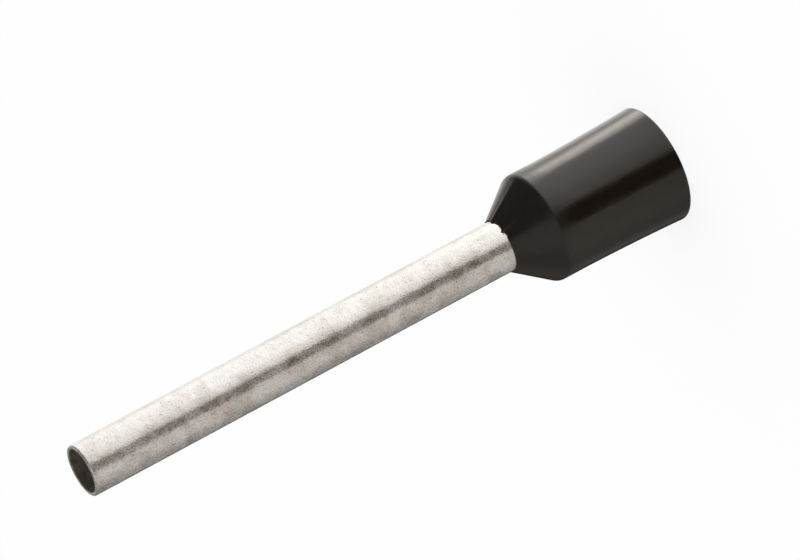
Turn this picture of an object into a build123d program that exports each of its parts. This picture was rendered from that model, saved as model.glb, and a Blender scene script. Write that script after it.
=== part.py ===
from build123d import *
import os
from math import atan2, cos, sin, tan

# An insulated wire-end ferrule for a 1.5 mm2 stranded wire, in millimetres.
# It stands on the open rim of its collar: the origin is the centre of that rim, +Z runs
# along the common axis to the open mouth of the contact tube.
# Every section below is drawn in the XZ plane, with X as the radius, and turned about Z.

# Contact tube: thin soft copper, open at both ends.
bore_diameter = 1.70
tube_wall = 0.15
pin_length = 18.00
mouth_outer_round = 0.07
mouth_inner_round = 0.05
flare_edge_gap = 0.15
flare_bend_radius = 0.50
flare_end_round = 0.04

# Insulating collar: a moulded sleeve with a cone down to the tube. Its straight bore takes
# the wire's insulation. Outside and bore open towards the rim by these two radial spreads.
insulation_bore_diameter = 3.50
collar_wall = 0.39
collar_length = 6.90
cone_length = 1.50
cone_wall = 0.35
lip_wall = 0.05
shoulder_round = 0.20
body_straight_length = 0.50
rim_spread = 0.14
entry_spread = 0.23
entry_length = 1.70
rim_outer_round = 0.05
rim_inner_round = 0.06
cavity_corner_round = 0.15

# Values that follow from those above.
bore_radius = bore_diameter / 2
tube_radius = bore_radius + tube_wall
lip_radius = tube_radius + lip_wall
insulation_radius = insulation_bore_diameter / 2
shoulder_radius = insulation_radius + collar_wall
rim_radius = shoulder_radius + rim_spread
entry_radius = insulation_radius + entry_spread
flare_end_radius = insulation_radius - flare_edge_gap
mouth_z = collar_length + pin_length
shoulder_z = collar_length - cone_length
flare_start_z = shoulder_z - body_straight_length
cone_angle = atan2(shoulder_radius - lip_radius, cone_length)

# The seat is the cone inside the collar, parallel to the outer one. The flare of the tube
# lies on it face to face, so both parts take the seat's place from these two functions.
seat_top_z = collar_length - (tube_radius - lip_radius + cone_wall / cos(cone_angle)) / tan(cone_angle)


def seat_z(radius):
    """Height at which the seat has this radius."""
    return seat_top_z - (radius - tube_radius) / tan(cone_angle)


def at_point(r, z):
    """Picks the vertex of the sketch at this radius and height."""
    return vertices().sort_by_distance((r, z, 0))[0]


def contact_tube():
    """Straight sleeve whose hidden end flares onto the collar's seat with a constant wall."""
    flare_end_z = seat_z(flare_end_radius)
    inner_bend_z = seat_top_z - tube_wall * (1 / cos(cone_angle) - 1) / tan(cone_angle)
    inner_end = (flare_end_radius - tube_wall * cos(cone_angle), flare_end_z - tube_wall * sin(cone_angle))
    outline = [
        (bore_radius, mouth_z),
        (tube_radius, mouth_z),
        (tube_radius, seat_top_z),
        (flare_end_radius, flare_end_z),
        inner_end,
        (bore_radius, inner_bend_z),
    ]
    with BuildPart() as tube:
        with BuildSketch(Plane.XZ):
            with BuildLine():
                Polyline(*outline, close=True)
            make_face()
            fillet(at_point(*outline[0]), mouth_inner_round)
            fillet(at_point(*outline[1]), mouth_outer_round)
            fillet(at_point(*outline[2]), flare_bend_radius)
            fillet(at_point(*outline[3]), flare_end_round)
            fillet(at_point(*outline[4]), flare_end_round)
            fillet(at_point(*outline[5]), flare_bend_radius + tube_wall)
        revolve(axis=Axis.Z)
    return tube.part


def trumpet_arc(start_radius, start_z, end_radius):
    """Arc that leaves the straight wall without a kink and meets the rim plane at end_radius."""
    spread = end_radius - start_radius
    radius = (start_z**2 + spread**2) / (2 * spread)
    half = atan2(start_z, radius - spread) / 2
    middle = (start_radius + radius * (1 - cos(half)), start_z - radius * sin(half))
    return ThreePointArc((start_radius, start_z), middle, (end_radius, 0))


def insulating_collar():
    """Moulded sleeve: neck and cone on the tube, and a body that opens gently to its rim."""
    lip = (lip_radius, collar_length)
    neck = (tube_radius, collar_length)
    shoulder = (shoulder_radius, shoulder_z)
    seat_top = (tube_radius, seat_top_z)
    seat_foot = (insulation_radius, seat_z(insulation_radius))
    with BuildPart() as collar:
        with BuildSketch(Plane.XZ):
            with BuildLine():
                Polyline(neck, lip, shoulder, (shoulder_radius, flare_start_z))
                trumpet_arc(shoulder_radius, flare_start_z, rim_radius)
                Line((rim_radius, 0), (entry_radius, 0))
                trumpet_arc(insulation_radius, entry_length, entry_radius)
                Polyline((insulation_radius, entry_length), seat_foot, seat_top, neck)
            make_face()
            fillet(at_point(*shoulder), shoulder_round)
            fillet(at_point(*seat_top), flare_bend_radius)
            fillet(at_point(*seat_foot), cavity_corner_round)
            fillet(at_point(rim_radius, 0), rim_outer_round)
            fillet(at_point(entry_radius, 0), rim_inner_round)
        revolve(axis=Axis.Z)
    return collar.part


os.makedirs("parts", exist_ok=True)
export_step(contact_tube(), "parts/contact_tube.step")
export_step(insulating_collar(), "parts/insulating_collar.step")
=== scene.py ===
import logging
from dataclasses import dataclass
from enum import Enum, IntEnum
from math import atan2, cos, degrees, exp, pi, radians, sin, tan
from typing import Sequence

import bmesh
import bpy
from bmesh.types import BMEdge, BMesh
from bpy.types import Material, Mesh, Node, NodeSocket, NodeTree, Object
from mathutils import Matrix, Vector


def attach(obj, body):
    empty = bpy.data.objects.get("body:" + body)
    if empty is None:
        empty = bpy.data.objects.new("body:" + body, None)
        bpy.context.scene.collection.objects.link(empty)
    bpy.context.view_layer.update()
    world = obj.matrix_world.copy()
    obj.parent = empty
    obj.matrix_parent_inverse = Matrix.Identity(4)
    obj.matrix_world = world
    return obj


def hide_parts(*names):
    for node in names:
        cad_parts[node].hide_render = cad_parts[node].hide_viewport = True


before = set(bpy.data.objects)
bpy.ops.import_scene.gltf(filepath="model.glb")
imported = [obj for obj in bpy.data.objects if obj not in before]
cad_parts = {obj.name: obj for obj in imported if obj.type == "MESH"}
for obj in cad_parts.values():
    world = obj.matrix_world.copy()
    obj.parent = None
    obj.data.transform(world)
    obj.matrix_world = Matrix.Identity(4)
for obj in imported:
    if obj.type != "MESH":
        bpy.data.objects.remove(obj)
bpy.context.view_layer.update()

LOG = logging.getLogger("wire_ferrule")

Colour = tuple[float, float, float, float]

WHITE: Colour = (1.0, 1.0, 1.0, 1.0)

# Sections are drawn in millimetres and scaled to metres once they are turned.
MILLIMETRE = 0.001


class Slot(Enum):
    """Material slots that the part's record names."""

    TINNED_COPPER = "tinned_copper"
    COLLAR_PLASTIC = "collar_plastic"


class TubeZone(IntEnum):
    """Which finish a face of the contact tube takes, as an index into its materials."""

    PLATED = 0
    BORE = 1


@dataclass(frozen=True)
class Pattern:
    """A noise of a given grain.

    Attributes:
        per_mm: Grains in a millimetre.
        detail: Octaves of finer noise.
        rough: How strong the finer octaves are.
    """

    per_mm: float
    detail: float = 2.0
    rough: float = 0.5


@dataclass(frozen=True)
class Span:
    """The range of a value that counts, and the range that it is mapped onto.

    Attributes:
        low: Start of the range that counts.
        high: End of the range that counts.
        at_low: Result at low and below.
        at_high: Result at high and above.
    """

    low: float
    high: float
    at_low: float = 0.0
    at_high: float = 1.0


class NodeBench:
    """Adds and links shader nodes in one node tree."""

    def __init__(self, tree: NodeTree) -> None:
        """Empties a tree and takes it over.

        Args:
            tree: The node tree of a material or of the world.
        """
        self.tree = tree
        tree.nodes.clear()

    @classmethod
    def for_material(cls, name: str) -> tuple[Material, "NodeBench"]:
        """Starts a new material.

        Args:
            name: The material's name.

        Returns:
            The material and the bench for its nodes.
        """
        material = bpy.data.materials.new(name)
        material.use_nodes = True
        return material, cls(material.node_tree)

    def add(self, kind: str, **settings: object) -> Node:
        """Adds a node and sets its own properties.

        Args:
            kind: Blender's type name of the node.
            **settings: Properties of the node, such as operation.

        Returns:
            The new node.
        """
        node = self.tree.nodes.new(kind)
        for name, value in settings.items():
            setattr(node, name, value)
        return node

    def feed(self, target: NodeSocket, source: NodeSocket | float | Sequence[float]) -> None:
        """Links a socket into another one, or sets the socket to a value.

        Args:
            target: The input socket.
            source: An output socket, a number or a colour.
        """
        if isinstance(source, NodeSocket):
            self.tree.links.new(source, target)
        else:
            target.default_value = source

    def finish(self, shader: NodeSocket, kind: str = "ShaderNodeOutputMaterial") -> None:
        """Leads a shader out of the tree.

        Args:
            shader: The shader to show.
            kind: Blender's type name of the output node.
        """
        self.feed(self.add(kind).inputs["Surface"], shader)

    def math(self, operation: str, *terms: NodeSocket | float) -> NodeSocket:
        """Adds a Math node.

        Args:
            operation: Blender's name of the operation.
            *terms: Its inputs in order, each a socket or a number.

        Returns:
            The result socket.
        """
        node = self.add("ShaderNodeMath", operation=operation)
        for target, term in zip(node.inputs, terms):
            self.feed(target, term)
        return node.outputs[0]

    def split(self, vector: NodeSocket) -> Node:
        """Splits a direction or a place into X, Y and Z.

        Args:
            vector: The socket to split.

        Returns:
            The Separate XYZ node.
        """
        node = self.add("ShaderNodeSeparateXYZ")
        self.feed(node.inputs[0], vector)
        return node

    def millimetres(self, along: float = 1.0) -> NodeSocket:
        """Gives the piece's own coordinates in millimetres.

        Args:
            along: Factor for the height, below 1 to draw a pattern out along the axis.

        Returns:
            The coordinates.
        """
        place = self.add("ShaderNodeTexCoord")
        scale = self.add("ShaderNodeMapping")
        per_metre = 1.0 / MILLIMETRE
        scale.inputs["Scale"].default_value = (per_metre, per_metre, per_metre * along)
        self.feed(scale.inputs["Vector"], place.outputs["Object"])
        return scale.outputs["Vector"]

    def noise(self, place: NodeSocket, pattern: Pattern) -> NodeSocket:
        """Adds a noise.

        Args:
            place: Coordinates in millimetres.
            pattern: Its grain.

        Returns:
            The noise's value, about 0.3 to 0.7.
        """
        node = self.add("ShaderNodeTexNoise")
        self.feed(node.inputs["Vector"], place)
        node.inputs["Scale"].default_value = pattern.per_mm
        node.inputs["Detail"].default_value = pattern.detail
        node.inputs["Roughness"].default_value = pattern.rough
        return node.outputs["Fac"]

    def spread(self, value: NodeSocket, span: Span) -> NodeSocket:
        """Maps a range of a value smoothly onto another range.

        Args:
            value: The value to map.
            span: Both ranges.

        Returns:
            The mapped value.
        """
        node = self.add("ShaderNodeMapRange", interpolation_type="SMOOTHSTEP")
        for name, term in (
            ("Value", value),
            ("From Min", span.low),
            ("From Max", span.high),
            ("To Min", span.at_low),
            ("To Max", span.at_high),
        ):
            self.feed(node.inputs[name], term)
        return node.outputs["Result"]

    def blend(
        self, amount: NodeSocket, first: NodeSocket | Colour, second: NodeSocket | Colour
    ) -> NodeSocket:
        """Mixes two colours.

        Args:
            amount: Share of the second colour.
            first: Colour or socket.
            second: Colour or socket.

        Returns:
            The mixed colour.
        """
        node = self.add("ShaderNodeMix", data_type="RGBA")
        self.feed(node.inputs["Factor"], amount)
        # A Mix node takes its two colours at inputs 6 and 7 and gives the mix at output 2.
        self.feed(node.inputs[6], first)
        self.feed(node.inputs[7], second)
        return node.outputs[2]

    def choose(self, share: NodeSocket | float, first: Node, second: Node) -> Node:
        """Mixes two shaders.

        Args:
            share: Share of the second shader.
            first: Node whose first output is a shader.
            second: Node whose first output is a shader.

        Returns:
            The Mix Shader node.
        """
        node = self.add("ShaderNodeMixShader")
        for target, source in zip(node.inputs, (share, first.outputs[0], second.outputs[0])):
            self.feed(target, source)
        return node

    def bump(
        self, height: NodeSocket, depth_mm: float, below: NodeSocket | None = None
    ) -> NodeSocket:
        """Adds a bump.

        Args:
            height: Height from 0 to 1.
            depth_mm: Real height of a full step, in millimetres.
            below: Normal of the bump under this one.

        Returns:
            The bent normal.
        """
        node = self.add("ShaderNodeBump")
        node.inputs["Strength"].default_value = 1.0
        node.inputs["Distance"].default_value = depth_mm * MILLIMETRE
        self.feed(node.inputs["Height"], height)
        if below is not None:
            self.feed(node.inputs["Normal"], below)
        return node.outputs["Normal"]


@dataclass(frozen=True)
class TinPlate:
    """Satin tin plating: mottled fine bloom, shallow ripples and scattered pits.

    Bloom and frost are where the metal scatters light. Depths are in millimetres.

    Attributes:
        clean: Colour of fresh tin.
        rosy: First tint of aged tin.
        olive: Second tint of aged tin.
        speck_colour: Colour of the fine specks in the grain's hollows.
        pit_colour: Colour of the pits.
        tint: Patches of the two tints.
        tint_share: From that noise to the second tint's share.
        fresh: Patches of fresh tin.
        fresh_share: From that noise to how fresh the tin is.
        fresh_bloom: Bloom on fresh tin.
        cloud: Large clouds of bloom.
        cloud_metal: From that noise to how metallic the surface is.
        polish: Patches of more or less gloss.
        roughness: From that noise to the roughness.
        grain: The fine grain.
        grain_depth: Depth of the grain.
        grain_frost: From the grain to the frost on it.
        speck_share: From the grain to the specks' share.
        ripple: Shallow ripples of the drawn wall.
        ripple_depth: Depth of the ripples.
        pits_per_mm: Cells in a millimetre, each with a pit or without.
        pit_depth: Depth of a pit.
        pit_size: From the distance to a cell's centre to how deep the pit is there.
        pit_choice: From a cell's lot to how deep its pit is at all.
        pit_fading: From how fresh the tin is to how much of a pit is left.
    """

    clean: Colour = (0.90, 0.895, 0.885, 1.0)
    rosy: Colour = (0.86, 0.83, 0.81, 1.0)
    olive: Colour = (0.75, 0.76, 0.725, 1.0)
    speck_colour: Colour = (0.52, 0.51, 0.485, 1.0)
    pit_colour: Colour = (0.30, 0.29, 0.27, 1.0)

    tint: Pattern = Pattern(1.5, 3.0, 0.6)
    tint_share: Span = Span(0.40, 0.60)
    fresh: Pattern = Pattern(0.9, 3.0, 0.6)
    fresh_share: Span = Span(0.42, 0.60)
    fresh_bloom: float = 0.08
    cloud: Pattern = Pattern(1.6, 4.0, 0.7)
    cloud_metal: Span = Span(0.32, 0.68, 1.0, 0.88)
    polish: Pattern = Pattern(5.0)
    roughness: Span = Span(0.35, 0.65, 0.15, 0.26)

    grain: Pattern = Pattern(16.0)
    grain_depth: float = 0.0055
    grain_frost: Span = Span(0.30, 0.70, 0.0, 0.15)
    speck_share: Span = Span(0.24, 0.50, 0.70, 0.0)
    ripple: Pattern = Pattern(2.2, 2.0, 0.4)
    ripple_depth: float = 0.015

    pits_per_mm: float = 8.5
    pit_depth: float = 0.003
    pit_size: Span = Span(0.12, 0.28, 1.0, 0.0)
    pit_choice: Span = Span(0.45, 0.85)
    pit_fading: Span = Span(0.0, 1.0, 1.0, 0.40)

    def make(self) -> Material:
        """Builds the material.

        Returns:
            The tin plate material.
        """
        material, bench = NodeBench.for_material("tin_plate")
        place = bench.millimetres()
        grain = bench.noise(place, self.grain)
        fresh = bench.spread(bench.noise(place, self.fresh), self.fresh_share)
        pits = self.pits(bench, place, fresh)
        shader = bench.add("ShaderNodeBsdfPrincipled")
        bench.feed(shader.inputs["Base Color"], self.colour(bench, place, grain, fresh, pits))
        clouds = bench.spread(bench.noise(place, self.cloud), self.cloud_metal)
        frost = bench.spread(grain, self.grain_frost)
        haze = bench.math("MULTIPLY_ADD", fresh, self.fresh_bloom, frost)
        bench.feed(shader.inputs["Metallic"], bench.math("SUBTRACT", clouds, haze))
        polish = bench.spread(bench.noise(place, self.polish), self.roughness)
        bench.feed(shader.inputs["Roughness"], polish)
        waves = bench.bump(bench.noise(place, self.ripple), self.ripple_depth)
        grains = bench.bump(grain, self.grain_depth, waves)
        sunk = bench.bump(bench.math("SUBTRACT", 1.0, pits), self.pit_depth, grains)
        bench.feed(shader.inputs["Normal"], sunk)
        bench.finish(shader.outputs["BSDF"])
        return material

    def colour(
        self,
        bench: NodeBench,
        place: NodeSocket,
        grain: NodeSocket,
        fresh: NodeSocket,
        pits: NodeSocket,
    ) -> NodeSocket:
        """Mixes the plating's colour from its tints, specks and pits.

        Args:
            bench: The material's nodes.
            place: Coordinates in millimetres.
            grain: The fine grain's noise.
            fresh: How fresh the tin is, 0 to 1.
            pits: How deep in a pit the surface is, 0 to 1.

        Returns:
            The colour.
        """
        tint = bench.spread(bench.noise(place, self.tint), self.tint_share)
        aged = bench.blend(tint, self.rosy, self.olive)
        plain = bench.blend(fresh, aged, self.clean)
        specked = bench.blend(bench.spread(grain, self.speck_share), plain, self.speck_colour)
        return bench.blend(pits, specked, self.pit_colour)

    def pits(self, bench: NodeBench, place: NodeSocket, fresh: NodeSocket) -> NodeSocket:
        """Scatters pits, one in some of the cells of a fine mesh.

        Args:
            bench: The material's nodes.
            place: Coordinates in millimetres.
            fresh: How fresh the tin is, 0 to 1; fresh tin has fainter pits.

        Returns:
            How deep in a pit the surface is, 0 to 1.
        """
        cells = bench.add("ShaderNodeTexVoronoi", feature="F1")
        bench.feed(cells.inputs["Vector"], place)
        cells.inputs["Scale"].default_value = self.pits_per_mm
        lot = bench.add("ShaderNodeSeparateColor")
        bench.feed(lot.inputs[0], cells.outputs["Color"])
        pit = bench.spread(cells.outputs["Distance"], self.pit_size)
        chosen = bench.spread(lot.outputs[0], self.pit_choice)
        depth = bench.spread(fresh, self.pit_fading)
        return bench.math("MULTIPLY", bench.math("MULTIPLY", pit, chosen), depth)


@dataclass(frozen=True)
class ShadedBoreCopper:
    """Copper of the tube's bore, darkened all over by painted shade and near black in random
    places.

    Attributes:
        shaded_copper: Copper colour darkened by painted shade.
        deepest_shade: Near-black painted shade.
        metal: How metallic it is.
        patch: Patches of the two colours.
        shade_share: From that noise to the share of the deepest painted shade.
        roughness: From that share to the roughness.
        grain: The fine grain.
        grain_depth: Depth of the grain, in millimetres.
    """

    shaded_copper: Colour = (0.24, 0.195, 0.16, 1.0)
    deepest_shade: Colour = (0.115, 0.107, 0.09, 1.0)
    metal: float = 0.5
    patch: Pattern = Pattern(2.4, 3.0)
    shade_share: Span = Span(0.38, 0.62)
    roughness: Span = Span(0.0, 1.0, 0.42, 0.58)
    grain: Pattern = Pattern(11.0)
    grain_depth: float = 0.002

    def make(self) -> Material:
        """Builds the material.

        Returns:
            The bore's material.
        """
        material, bench = NodeBench.for_material("bore_copper_painted_shade")
        place = bench.millimetres()
        shade_patches = bench.spread(bench.noise(place, self.patch), self.shade_share)
        shader = bench.add("ShaderNodeBsdfPrincipled")
        shader.inputs["Metallic"].default_value = self.metal
        # The bore's colour is painted shade: copper darkened throughout, near black where the noise
        # is high.
        bench.feed(shader.inputs["Base Color"], bench.blend(shade_patches, self.shaded_copper, self.deepest_shade))
        bench.feed(shader.inputs["Roughness"], bench.spread(shade_patches, self.roughness))
        grains = bench.bump(bench.noise(place, self.grain), self.grain_depth)
        bench.feed(shader.inputs["Normal"], grains)
        bench.finish(shader.outputs["BSDF"])
        return material


@dataclass(frozen=True)
class CollarPlastic:
    """Black moulded plastic with a soft gloss, faint lines along it and a frosted shoulder.

    Depths and the frost's heights above the rim are in millimetres.

    Attributes:
        black: Colour of the moulded skin.
        worn: Colour where the skin is handled.
        wear: Patches of handled skin.
        wear_share: From that noise to the worn colour's share.
        refraction: Index of refraction, which sets how much the gloss mirrors.
        polish: Patches of more or less gloss.
        roughness: From that noise to the roughness.
        shoulder_frost: From the height to the roughness added towards the shoulder.
        frost_end: From the height to how much of it is left on the cone.
        skin: Slow waves of the moulded skin.
        skin_depth: Depth of those waves.
        line: Faint lines along the collar.
        line_stretch: Factor for the height that draws the lines out.
        line_depth: Depth of the lines.
        grain: The fine grain.
        grain_depth: Depth of the grain.
    """

    black: Colour = (0.0031, 0.0019, 0.0013, 1.0)
    worn: Colour = (0.0046, 0.0031, 0.0023, 1.0)
    wear: Pattern = Pattern(1.6, 3.0)
    wear_share: Span = Span(0.35, 0.65)
    refraction: float = 1.66
    polish: Pattern = Pattern(4.0, 3.0)
    roughness: Span = Span(0.35, 0.65, 0.13, 0.19)
    shoulder_frost: Span = Span(4.3, 5.3, 0.0, 0.16)
    frost_end: Span = Span(5.35, 5.7, 1.0, 0.3)
    skin: Pattern = Pattern(1.5, 1.0)
    skin_depth: float = 0.004
    line: Pattern = Pattern(9.0)
    line_stretch: float = 0.08
    line_depth: float = 0.003
    grain: Pattern = Pattern(13.0)
    grain_depth: float = 0.0009

    def make(self) -> Material:
        """Builds the material.

        Returns:
            The collar's material.
        """
        material, bench = NodeBench.for_material("collar_plastic")
        place = bench.millimetres()
        wear = bench.spread(bench.noise(place, self.wear), self.wear_share)
        shader = bench.add("ShaderNodeBsdfPrincipled")
        shader.inputs["IOR"].default_value = self.refraction
        bench.feed(shader.inputs["Base Color"], bench.blend(wear, self.black, self.worn))
        height = bench.split(place).outputs["Z"]
        frost = bench.math(
            "MULTIPLY",
            bench.spread(height, self.shoulder_frost),
            bench.spread(height, self.frost_end),
        )
        gloss = bench.spread(bench.noise(place, self.polish), self.roughness)
        bench.feed(shader.inputs["Roughness"], bench.math("ADD", gloss, frost))
        skin = bench.bump(bench.noise(place, self.skin), self.skin_depth)
        drawn = bench.noise(bench.millimetres(self.line_stretch), self.line)
        lines = bench.bump(drawn, self.line_depth, skin)
        grains = bench.bump(bench.noise(place, self.grain), self.grain_depth, lines)
        bench.feed(shader.inputs["Normal"], grains)
        bench.finish(shader.outputs["BSDF"])
        return material


@dataclass(frozen=True)
class Corner:
    """A corner of a turned piece's section, in millimetres.

    Attributes:
        radius: Distance from the axis.
        height: Height above the collar's rim.
        reach: How far its round runs along each side, 0 for a plain corner.
        segments: Facets of the round.
    """

    radius: float
    height: float
    reach: float = 0.0
    segments: int = 5


@dataclass
class TurnedPiece:
    """A body of revolution made from one closed section.

    Attributes:
        name: The piece's name.
        node: The CAD node that it replaces.
        slot: The record's material slot; not used.
        steps: Steps of the full turn.
        hold: How close to a straight side's ends it is split, in millimetres.
        shortest_split: Shortest side that is split, in millimetres.
        weld: Distance within which points are merged, in millimetres.
    """

    name: str
    node: str
    slot: Slot
    steps: int = 288
    hold: float = 0.03
    shortest_split: float = 0.12
    weld: float = 0.0002

    def corners(self) -> list[Corner]:
        """Gives the section's corners in order round it."""
        raise NotImplementedError

    def section(self) -> BMesh:
        """Draws the closed section as edges, with its rounds.

        Returns:
            A mesh that holds the section alone.
        """
        bm = bmesh.new()
        corners = self.corners()
        verts = [bm.verts.new((corner.radius, 0.0, corner.height)) for corner in corners]
        bm.faces.new(verts)
        for vert, corner in zip(verts, corners):
            if corner.reach > 0.0:
                bmesh.ops.bevel(
                    bm,
                    geom=[vert],
                    offset=corner.reach,
                    offset_type="OFFSET",
                    affect="VERTICES",
                    segments=corner.segments,
                    profile=0.5,
                    material=-1,
                )
        bmesh.ops.delete(bm, geom=bm.faces[:], context="FACES_ONLY")
        for edge in [edge for edge in bm.edges if edge.calc_length() > self.shortest_split]:
            self.hold_ends(edge)
        return bm

    def hold_ends(self, edge: BMEdge) -> None:
        """Splits a straight edge close to both ends, so that rounds don't shade into it.

        Args:
            edge: The edge to split.
        """
        first, last = edge.verts
        far, _ = bmesh.utils.edge_split(edge, first, self.hold / edge.calc_length())
        rest = next(e for e in (far, edge) if last in e.verts)
        bmesh.utils.edge_split(rest, last, self.hold / rest.calc_length())

    def turn(self) -> BMesh:
        """Turns the section about the axis.

        Returns:
            The closed body, in millimetres.
        """
        bm = self.section()
        bmesh.ops.spin(
            bm,
            geom=bm.verts[:] + bm.edges[:],
            cent=(0.0, 0.0, 0.0),
            axis=(0.0, 0.0, 1.0),
            dvec=(0.0, 0.0, 0.0),
            angle=2.0 * pi,
            steps=self.steps,
            use_merge=True,
            use_normal_flip=False,
            use_duplicate=False,
        )
        bmesh.ops.remove_doubles(bm, verts=bm.verts, dist=self.weld)
        bmesh.ops.recalc_face_normals(bm, faces=bm.faces)
        return bm

    def detail(self, bm: BMesh) -> None:
        """Adds what isn't turned. A plain turned piece has nothing.

        Args:
            bm: The turned body, in millimetres.
        """

    def finishes(self) -> list[Material]:
        """Gives the piece's materials in the order of their index."""
        raise NotImplementedError

    def build(self) -> Object:
        """Makes the piece, attaches it to the root body and hides the CAD node that it replaces.

        Returns:
            The finished object.
        """
        bm = self.turn()
        self.detail(bm)
        for face in bm.faces:
            face.smooth = True
        mesh = mesh_in_metres(bm, self.name)
        for material in self.finishes():
            mesh.materials.append(material)
        piece = place_object(self.name, mesh)
        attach(piece, "root")
        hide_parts(self.node)
        return piece


def mesh_in_metres(bm: BMesh, name: str) -> Mesh:
    """Scales a mesh from millimetres to metres and keeps it under a name.

    Args:
        bm: The mesh in millimetres, which is freed.
        name: The name to keep it under.

    Returns:
        The mesh in metres.
    """
    bmesh.ops.scale(bm, vec=(MILLIMETRE,) * 3, verts=bm.verts)
    mesh = bpy.data.meshes.new(name)
    bm.to_mesh(mesh)
    bm.free()
    return mesh


def place_object(name: str, data: object) -> Object:
    """Makes an object and links it into the scene.

    Args:
        name: The object's name.
        data: Its mesh, light or camera.

    Returns:
        The object.
    """
    made = bpy.data.objects.new(name, data)
    bpy.context.scene.collection.objects.link(made)
    return made


@dataclass
class ContactTube(TurnedPiece):
    """Thin tinned copper tube, open at both ends and flared inside the collar.

    Sizes are in millimetres, and heights above the collar's rim. A reach is how far a
    corner's round runs along each side.

    Attributes:
        bore_radius: Radius of the bore.
        outer_radius: Radius of the outside.
        mouth_height: Height of the open end.
        mouth_outer_round: Reach of the round outside the mouth.
        mouth_inner_round: Reach of the round inside the mouth.
        mouth_margin: How far below the open end the bore's finish stops.
        flare_radius: Radius of the flare at its end.
        flare_height: Height of the flare's outer edge.
        flare_angle: Angle between the flare's end face and the axis, in degrees.
        flare_edge_reach: Reach of the rounds of the flare's two edges.
        bend_height: Height at which the outside bends into the flare.
        bend_outer_reach: Reach of the bend's round outside.
        bend_inner_reach: Reach of the bend's round in the bore.
    """

    bore_radius: float = 0.85
    outer_radius: float = 1.0
    mouth_height: float = 24.9
    mouth_outer_round: float = 0.07
    mouth_inner_round: float = 0.05
    mouth_margin: float = 0.01
    flare_radius: float = 1.6
    flare_height: float = 5.548
    flare_angle: float = 36.0
    flare_edge_reach: float = 0.03
    bend_height: float = 6.373
    bend_outer_reach: float = 0.02
    bend_inner_reach: float = 0.2

    def corners(self) -> list[Corner]:
        """Gives the tube's section: up the outside, over the mouth and down the bore.

        Returns:
            The corners, from the flare's outer edge.
        """
        angle = radians(self.flare_angle)
        wall = self.outer_radius - self.bore_radius
        inner_edge = (self.flare_radius - wall * sin(angle), self.flare_height - wall * cos(angle))
        inner_bend = self.bend_height - wall * tan((pi / 2 - angle) / 2)
        return [
            Corner(self.flare_radius, self.flare_height, self.flare_edge_reach, segments=3),
            Corner(self.outer_radius, self.bend_height, self.bend_outer_reach, segments=3),
            Corner(self.outer_radius, self.mouth_height, self.mouth_outer_round, segments=6),
            Corner(self.bore_radius, self.mouth_height, self.mouth_inner_round, segments=4),
            Corner(self.bore_radius, inner_bend, self.bend_inner_reach, segments=6),
            Corner(*inner_edge, self.flare_edge_reach, segments=3),
        ]

    def detail(self, bm: BMesh) -> None:
        """Gives the bore's faces their own finish, copper darkened by painted shade.

        Args:
            bm: The turned tube, in millimetres.
        """
        edge = self.bore_radius + 0.5 * self.mouth_inner_round
        top = self.mouth_height - self.mouth_margin
        for face in bm.faces:
            centre = face.calc_center_median()
            inside = centre.xy.length < edge and centre.z < top
            face.material_index = TubeZone.BORE if inside else TubeZone.PLATED

    def finishes(self) -> list[Material]:
        """Gives the plating and the bore's copper, darkened by painted shade."""
        return [TinPlate().make(), ShadedBoreCopper().make()]


@dataclass(frozen=True)
class Flash:
    """A point or a scallop in the feather edge of the collar's lip.

    Attributes:
        angle: Where it is, in degrees from the front (-Y) towards +X.
        rise: How far the lip runs on along the tube there, below 0 for a scallop, in millimetres.
        width: Half its width, in degrees.
    """

    angle: float
    rise: float
    width: float


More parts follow.
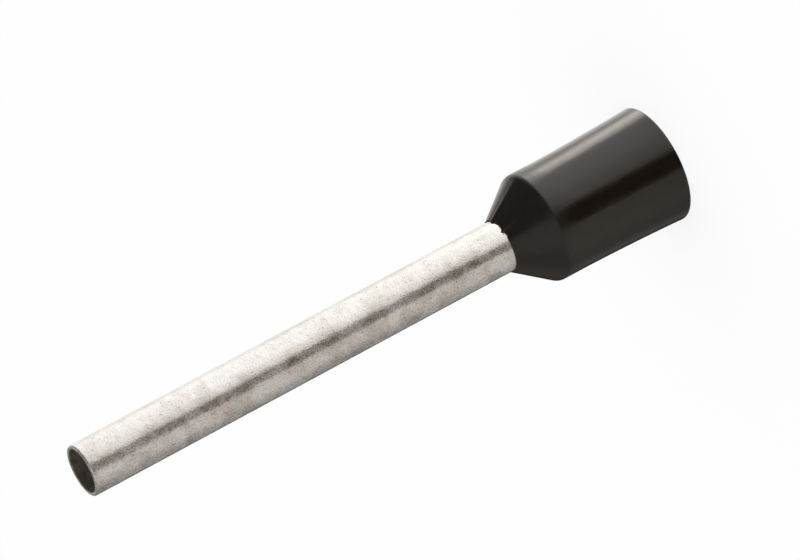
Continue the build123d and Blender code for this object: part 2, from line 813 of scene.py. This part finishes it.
@dataclass
class InsulatingCollar(TurnedPiece):
    """Black sleeve that opens gently to its rim and tapers onto the tube.

    Sizes are in millimetres, and heights above the rim. A reach is how far a corner's
    round runs along each side, and a land is the straight left between the long arc of a
    wall that opens and the round of the rim.

    Attributes:
        neck_radius: Radius of the neck, which sits on the tube.
        lip_radius: Outer radius of the lip at the top of the cone.
        lip_height: Height of the lip.
        lip_reach: Reach of the lip's round.
        shoulder_radius: Outer radius of the body at the shoulder.
        shoulder_height: Height of the shoulder, where the cone starts.
        shoulder_round: Radius of the shoulder's round.
        shoulder_turn: Degrees that the outline turns through at the shoulder.
        cavity_radius: Radius of the cavity that takes the wire's insulation.
        cavity_height: Height at which the cavity starts to close.
        cavity_reach: Reach of the round there.
        seat_height: Height at which the tube's flare has its bend.
        straight_end: Height at which the body starts to open towards the rim.
        rim_radius: Outer radius at the rim.
        rim_outer_round: Reach of the rim's outer round.
        rim_inner_round: Reach of the rim's inner round.
        rim_land: Land outside the rim.
        entry_radius: Inner radius at the rim.
        entry_length: How far in the entry narrows.
        entry_land: Land inside the rim.
        flash_zone: How far below the lip its edge runs out with the flash.
        flashes: Points and scallops of the lip's edge.
    """

    neck_radius: float = 1.0
    lip_radius: float = 1.05
    lip_height: float = 6.9
    lip_reach: float = 0.015
    shoulder_radius: float = 2.14
    shoulder_height: float = 5.4
    shoulder_round: float = 0.20
    shoulder_turn: float = 54.0
    cavity_radius: float = 1.75
    cavity_height: float = 5.341
    cavity_reach: float = 0.075
    seat_height: float = 6.373
    straight_end: float = 4.9
    rim_radius: float = 2.28
    rim_outer_round: float = 0.054
    rim_inner_round: float = 0.06
    rim_land: float = 0.1
    entry_radius: float = 1.98
    entry_length: float = 1.70
    entry_land: float = 0.08
    flash_zone: float = 0.06
    flashes: tuple[Flash, ...] = (
        Flash(65.0, 0.06, 5.0),
        Flash(46.0, -0.035, 11.0),
        Flash(26.6, 0.075, 3.2),
        Flash(15.5, -0.04, 6.0),
    )

    @staticmethod
    def spread_corner(radius: float, height: float, end_radius: float) -> tuple[float, float]:
        """Finds the corner whose long round leads from a straight wall to the rim.

        Args:
            radius: Radius of the straight wall.
            height: Height at which the wall starts to open.
            end_radius: Radius at the rim.

        Returns:
            The corner's height and the reach of its round.
        """
        opening = end_radius - radius
        corner_height = (height**2 - opening**2) / (2.0 * height)
        return corner_height, height - corner_height

    def corners(self) -> list[Corner]:
        """Gives the collar's section: down the outside and up the cavity.

        Returns:
            The corners, from the lip.
        """
        outer_height, outer_reach = self.spread_corner(
            self.shoulder_radius, self.straight_end, self.rim_radius
        )
        entry_height, entry_reach = self.spread_corner(
            self.cavity_radius, self.entry_length, self.entry_radius
        )
        shoulder_reach = self.shoulder_round * tan(radians(0.5 * self.shoulder_turn))
        return [
            Corner(self.neck_radius, self.lip_height),
            Corner(self.lip_radius, self.lip_height, self.lip_reach, segments=3),
            Corner(self.shoulder_radius, self.shoulder_height, shoulder_reach, segments=8),
            Corner(self.shoulder_radius, outer_height, outer_reach - self.rim_land, segments=14),
            Corner(self.rim_radius, 0.0, self.rim_outer_round, segments=6),
            Corner(self.entry_radius, 0.0, self.rim_inner_round, segments=5),
            Corner(self.cavity_radius, entry_height, entry_reach - self.entry_land, segments=10),
            Corner(self.cavity_radius, self.cavity_height, self.cavity_reach, segments=5),
            Corner(self.neck_radius, self.seat_height),
        ]

    def detail(self, bm: BMesh) -> None:
        """Runs the lip out into its points of flash.

        Args:
            bm: The turned collar, in millimetres.
        """
        for vert in bm.verts:
            if vert.co.z > self.lip_height - self.flash_zone:
                vert.co.z += self.flash(degrees(atan2(vert.co.x, -vert.co.y)))

    def flash(self, angle: float) -> float:
        """Gives how far the lip runs out.

        Args:
            angle: Degrees from the front towards +X.

        Returns:
            The distance along the tube in millimetres.
        """
        return sum(
            part.rise * exp(-(((angle - part.angle) / part.width) ** 2)) for part in self.flashes
        )

    def finishes(self) -> list[Material]:
        """Gives the black plastic."""
        return [CollarPlastic().make()]


@dataclass(frozen=True)
class SoftCard:
    """A card, flag or light that stands round the part, with soft sides.

    Attributes:
        start: Bearing of its first side, in degrees from the front (-Y) towards +X.
        end: Bearing of its other side.
        edge: Width of its soft sides, in degrees.
        level: Brightness, 1 for white.
        warmth: Share that red gains and blue loses.
    """

    start: float
    end: float
    edge: float
    level: float
    warmth: float = 0.05

    def colour(self) -> Colour:
        """Gives the card's colour, with its brightness in it."""
        return (self.level * (1.0 + self.warmth), self.level, self.level * (1.0 - self.warmth), 1.0)

    def width(self, bench: NodeBench, bearing: NodeSocket) -> NodeSocket:
        """Tells where the card is.

        Args:
            bench: The nodes to add to.
            bearing: Bearing in degrees from the front towards +X.

        Returns:
            1 on the card, 0 beside it, with soft sides between.
        """
        half = 0.5 * self.edge
        begun = bench.spread(bearing, Span(self.start - half, self.start + half))
        not_over = bench.spread(bearing, Span(self.end - half, self.end + half, 1.0, 0.0))
        return bench.math("MULTIPLY", begun, not_over)

    def over(
        self, bench: NodeBench, bearing: NodeSocket, behind: NodeSocket | Colour
    ) -> NodeSocket:
        """Stands the card in front of what is behind it.

        Args:
            bench: The world's nodes.
            bearing: Bearing in degrees from the front towards +X.
            behind: Colour or socket of what is behind the card.

        Returns:
            The colour with the card in it.
        """
        return bench.blend(self.width(bench, bearing), behind, self.colour())


@dataclass
class Studio:
    """White floor, plain soft light, and what metal and gloss mirror.

    Only reflections show the surround and its cards. The two low lights stand beside the
    collar, so close and low that it alone mirrors them. A rise is the height of a direction,
    from -1 straight down to 1 straight up. The low lights' sizes are in millimetres, the
    floor's and the lamp's in metres.

    Attributes:
        plain_level: Brightness of the plain light from all round.
        floor_half: Half the floor's side.
        paper: Colour of the floor.
        paper_share: How much of what the camera sees of the floor is lit paper and not white.
        table: Colour below the horizon, behind the cards.
        ceiling: Colour above the horizon.
        back: Colour of the patch straight behind the part.
        lid: Colour straight above.
        low_cards: Cards below the horizon, each in front of those before it.
        black_flag: Dark card in front of them all.
        ceiling_cards: Cards above the horizon.
        pale_back: Pale board at the back.
        pale_back_top: Rise of its top.
        tall_back: Taller board in front of that one.
        tall_back_top: Rise of its top.
        back_fade: Rise over which a board fades out towards its top.
        low_dimming: From the rise to the brightness of the low cards.
        horizon: From the rise to the ceiling's share.
        back_axis: Y and Z of the direction of the patch straight behind.
        back_edge: From how much a direction points there to that patch's share.
        lid_edge: From the rise to the lid's share.
        edge_light: Low light for the collar's edge.
        strip_light: Low light for the collar's long highlight.
        strip_lean: Degrees of bearing that the strip light leans per millimetre of height.
        low_light_distance: How far from the axis the low lights stand.
        low_light_top: Height of their tops above the collar's rim.
        low_light_foot: Height of their feet.
        low_light_fade: Height over which they fade out at their tops.
        lamp_size: Side of the lamp over the table.
        lamp_watts: Its power.
        lamp_place: Its place.
    """

    plain_level: float = 0.8
    floor_half: float = 1.5
    paper: Colour = (0.94, 0.94, 0.94, 1.0)
    paper_share: float = 0.2

    table: Colour = (0.214, 0.20, 0.186, 1.0)
    ceiling: Colour = (0.1265, 0.11, 0.0935, 1.0)
    back: Colour = (0.14, 0.14, 0.133, 1.0)
    lid: Colour = (0.1728, 0.16, 0.1472, 1.0)
    low_cards: tuple[SoftCard, ...] = (
        SoftCard(-200.0, -150.0, 20.0, 0.05),
        SoftCard(-95.0, 40.0, 60.0, 0.43, 0.12),
        SoftCard(11.0, 200.0, 14.0, 0.68, 0.08),
        SoftCard(35.0, 200.0, 50.0, 1.10, 0.04),
        SoftCard(92.0, 124.0, 20.0, 1.20, 0.04),
    )
    black_flag: SoftCard = SoftCard(-30.0, 6.5, 10.0, 0.06, 0.4)
    ceiling_cards: tuple[SoftCard, ...] = (
        SoftCard(-140.0, 1.0, 40.0, 0.25, 0.12),
        SoftCard(-75.0, 1.0, 25.0, 0.38, 0.12),
    )
    pale_back: SoftCard = SoftCard(134.0, 200.0, 14.0, 0.93, 0.03)
    pale_back_top: float = 0.25
    tall_back: SoftCard = SoftCard(156.0, 200.0, 12.0, 0.93, 0.03)
    tall_back_top: float = 0.38
    back_fade: float = 0.35
    low_dimming: Span = Span(-0.40, -0.28, 1.15, 0.85)
    horizon: Span = Span(-0.22, 0.06)
    back_axis: tuple[float, float] = (0.93, 0.36)
    back_edge: Span = Span(0.95, 0.99)
    lid_edge: Span = Span(0.84, 0.94)

    edge_light: SoftCard = SoftCard(134.0, 178.0, 6.0, 1.3, 0.03)
    strip_light: SoftCard = SoftCard(95.0, 117.0, 18.0, 3.9, 0.08)
    strip_lean: float = 1.6
    low_light_distance: float = 25.0
    low_light_top: float = -3.3
    low_light_foot: float = -12.0
    low_light_fade: float = 0.4

    lamp_size: float = 0.5
    lamp_watts: float = 1.1
    lamp_place: tuple[float, float, float] = (0.12, -0.1, 0.6)

    @staticmethod
    def bearing(bench: NodeBench, split: Node) -> NodeSocket:
        """Works out the bearing round the part.

        Args:
            bench: The nodes to add to.
            split: Separate XYZ node of a direction or a place.

        Returns:
            The bearing in degrees from the front towards +X.
        """
        front = bench.math("MULTIPLY", split.outputs["Y"], -1.0)
        return bench.math("DEGREES", bench.math("ARCTAN2", split.outputs["X"], front))

    def low_view(self, bench: NodeBench, bearing: NodeSocket, rise: NodeSocket) -> NodeSocket:
        """Sets out the cards below the horizon.

        Args:
            bench: The world's nodes.
            bearing: Bearing in degrees from the front towards +X.
            rise: Height of the direction.

        Returns:
            The colour of the view below the horizon.
        """
        low: NodeSocket | Colour = self.table
        for card in self.low_cards:
            low = card.over(bench, bearing, low)
        dimmed = bench.add("ShaderNodeVectorMath", operation="SCALE")
        bench.feed(dimmed.inputs[0], low)
        bench.feed(dimmed.inputs["Scale"], bench.spread(rise, self.low_dimming))
        return self.black_flag.over(bench, bearing, dimmed.outputs[0])

    def mirrored(self, bench: NodeBench) -> NodeSocket:
        """Sets out what reflections show.

        Args:
            bench: The world's nodes.

        Returns:
            The colour that a reflection shows in each direction.
        """
        split = bench.split(bench.add("ShaderNodeTexCoord").outputs["Generated"])
        rise = split.outputs["Z"]
        bearing = self.bearing(bench, split)
        high: NodeSocket | Colour = self.ceiling
        for card in self.ceiling_cards:
            high = card.over(bench, bearing, high)
        low = self.low_view(bench, bearing, rise)
        shown = bench.blend(bench.spread(rise, self.horizon), low, high)
        for board, top in (
            (self.pale_back, self.pale_back_top),
            (self.tall_back, self.tall_back_top),
        ):
            fade = bench.spread(rise, Span(top - self.back_fade, top, 1.0, 0.0))
            share = bench.math("MULTIPLY", board.width(bench, bearing), fade)
            shown = bench.blend(share, shown, board.colour())
        along, up = self.back_axis
        away = bench.math(
            "MULTIPLY_ADD", split.outputs["Y"], along, bench.math("MULTIPLY", rise, up)
        )
        shown = bench.blend(bench.spread(away, self.back_edge), shown, self.back)
        return bench.blend(bench.spread(rise, self.lid_edge), shown, self.lid)

    def surround(self) -> None:
        """Sets the world: plain light, a white backdrop and the view that reflections show."""
        world = bpy.data.worlds.new("studio")
        world.use_nodes = True
        bpy.context.scene.world = world
        bench = NodeBench(world.node_tree)
        plain = bench.add("ShaderNodeBackground")
        plain.inputs["Color"].default_value = WHITE
        plain.inputs["Strength"].default_value = self.plain_level
        backdrop = bench.add("ShaderNodeBackground")
        backdrop.inputs["Color"].default_value = WHITE
        mirrored = bench.add("ShaderNodeBackground")
        bench.feed(mirrored.inputs["Color"], self.mirrored(bench))
        rays = bench.add("ShaderNodeLightPath").outputs
        seen = bench.choose(rays["Is Camera Ray"], plain, backdrop)
        bounced = bench.math("MAXIMUM", rays["Is Glossy Ray"], rays["Is Transmission Ray"])
        shown = bench.choose(bounced, seen, mirrored)
        bench.finish(shown.outputs[0], "ShaderNodeOutputWorld")

    def floor(self) -> Object:
        """Lays the pale floor, which keeps a faint shadow.

        Returns:
            The floor.
        """
        bm = bmesh.new()
        bmesh.ops.create_grid(bm, x_segments=1, y_segments=1, size=self.floor_half / MILLIMETRE)
        mesh = mesh_in_metres(bm, "floor")
        material, bench = NodeBench.for_material("floor_white")
        paper = bench.add("ShaderNodeBsdfDiffuse")
        paper.inputs["Color"].default_value = self.paper
        glow = bench.add("ShaderNodeEmission")
        glow.inputs["Color"].default_value = WHITE
        white = bench.choose(self.paper_share, glow, paper)
        rays = bench.add("ShaderNodeLightPath").outputs
        bench.finish(bench.choose(rays["Is Camera Ray"], paper, white).outputs[0])
        mesh.materials.append(material)
        floor = place_object("floor", mesh)
        floor.visible_glossy = False
        return floor

    def glow(self, name: str, card: SoftCard, lean: float) -> Material:
        """Makes the glowing face of a low light, clear beside it and above it.

        Args:
            name: Name of the light.
            card: Its two sides and its brightness.
            lean: Degrees of bearing that it leans per millimetre of height.

        Returns:
            The light's material.
        """
        material, bench = NodeBench.for_material(f"{name}_glow")
        material.cycles.emission_sampling = "NONE"
        split = bench.split(bench.millimetres())
        height = split.outputs["Z"]
        fade_start = self.low_light_top - self.low_light_fade
        top = bench.spread(height, Span(fade_start, self.low_light_top, 1.0, 0.0))
        middle = 0.5 * (self.low_light_top + self.low_light_foot)
        above = bench.math("SUBTRACT", height, middle)
        leaning = bench.math("MULTIPLY_ADD", above, lean, self.bearing(bench, split))
        lit = bench.math("MULTIPLY", card.width(bench, leaning), top)
        glow = bench.add("ShaderNodeEmission")
        glow.inputs["Color"].default_value = card.colour()
        clear = bench.add("ShaderNodeBsdfTransparent")
        bench.finish(bench.choose(lit, clear, glow).outputs[0])
        return material

    def low_light(self, name: str, card: SoftCard, lean: float = 0.0) -> Object:
        """Stands a light low beside the collar, where only the collar mirrors it.

        Args:
            name: Name of the light.
            card: Its two sides and its brightness.
            lean: Degrees of bearing that it leans per millimetre of height.

        Returns:
            The light.
        """
        height = self.low_light_top - self.low_light_foot
        sweep = card.end - card.start + card.edge + lean * height
        breadth = 2.0 * self.low_light_distance * tan(radians(0.5 * sweep))
        middle = 0.5 * (self.low_light_top + self.low_light_foot)
        upright = Matrix.Rotation(0.5 * pi, 3, "X")
        turned = Matrix.Rotation(radians(0.5 * (card.start + card.end)), 3, "Z")
        bm = bmesh.new()
        bmesh.ops.create_grid(bm, x_segments=1, y_segments=1, size=0.5)
        bmesh.ops.scale(bm, vec=(breadth, height, 1.0), verts=bm.verts)
        bmesh.ops.rotate(bm, matrix=upright, verts=bm.verts)
        bmesh.ops.translate(bm, vec=(0.0, -self.low_light_distance, middle), verts=bm.verts)
        bmesh.ops.rotate(bm, matrix=turned, verts=bm.verts)
        mesh = mesh_in_metres(bm, name)
        mesh.materials.append(self.glow(name, card, lean))
        light = place_object(name, mesh)
        light.visible_camera = False
        light.visible_diffuse = False
        light.visible_shadow = False
        light.visible_transmission = False
        return light

    def lamp(self) -> Object:
        """Hangs the large soft lamp over the table.

        Returns:
            The lamp.
        """
        light = bpy.data.lights.new("softbox", "AREA")
        light.shape = "SQUARE"
        light.size = self.lamp_size
        light.energy = self.lamp_watts
        lamp = place_object("softbox", light)
        lamp.location = self.lamp_place
        lamp.rotation_euler = Vector(self.lamp_place).to_track_quat("Z", "Y").to_euler()
        lamp.visible_camera = False
        lamp.visible_glossy = False
        return lamp

    def build(self) -> None:
        """Sets up the surround, the floor, the collar's two lights and the lamp."""
        self.surround()
        self.floor()
        self.low_light("strip_light", self.strip_light, self.strip_lean)
        self.low_light("edge_light", self.edge_light)
        self.lamp()


@dataclass
class PhotoCamera:
    """The camera at the photograph's viewing angle.

    Attributes:
        lens: Focal length, in millimetres.
        sensor: Width of the sensor, in millimetres.
        near: Shortest distance that is shown, in metres.
        far: Longest distance that is shown, in metres.
        place: Where it stands, in millimetres.
        elevation: How far it looks down, in degrees.
        roll: How far it is rolled about its own axis, in degrees.
    """

    lens: float = 270.0
    sensor: float = 36.0
    near: float = 0.005
    far: float = 20.0
    place: tuple[float, float, float] = (0.643, -201.45, 88.182)
    elevation: float = 20.978
    roll: float = -118.165

    def build(self) -> Object:
        """Places the camera and makes it the scene's.

        Returns:
            The camera.
        """
        data = bpy.data.cameras.new("photo_camera")
        data.lens = self.lens
        data.sensor_width = self.sensor
        data.clip_start = self.near
        data.clip_end = self.far
        camera = place_object("photo_camera", data)
        tip = Matrix.Rotation(radians(90.0 - self.elevation), 4, "X")
        turn = Matrix.Rotation(radians(self.roll), 4, "Z")
        camera.matrix_world = Matrix.Translation(Vector(self.place) * MILLIMETRE) @ tip @ turn
        bpy.context.scene.camera = camera
        return camera


def main() -> None:
    """Builds the ferrule, the studio and the camera."""
    logging.basicConfig(level=logging.INFO, format="%(name)s %(message)s")
    scene = bpy.context.scene
    scene.view_settings.view_transform = "Standard"
    for turned in (
        ContactTube("tinned_contact_tube", "contact_tube", Slot.TINNED_COPPER),
        InsulatingCollar("black_insulating_collar", "insulating_collar", Slot.COLLAR_PLASTIC),
    ):
        piece = turned.build()
        LOG.info("%s: %d faces", piece.name, len(piece.data.polygons))
    Studio().build()
    PhotoCamera().build()
    bpy.context.view_layer.update()


if __name__ == "__main__":
    main()
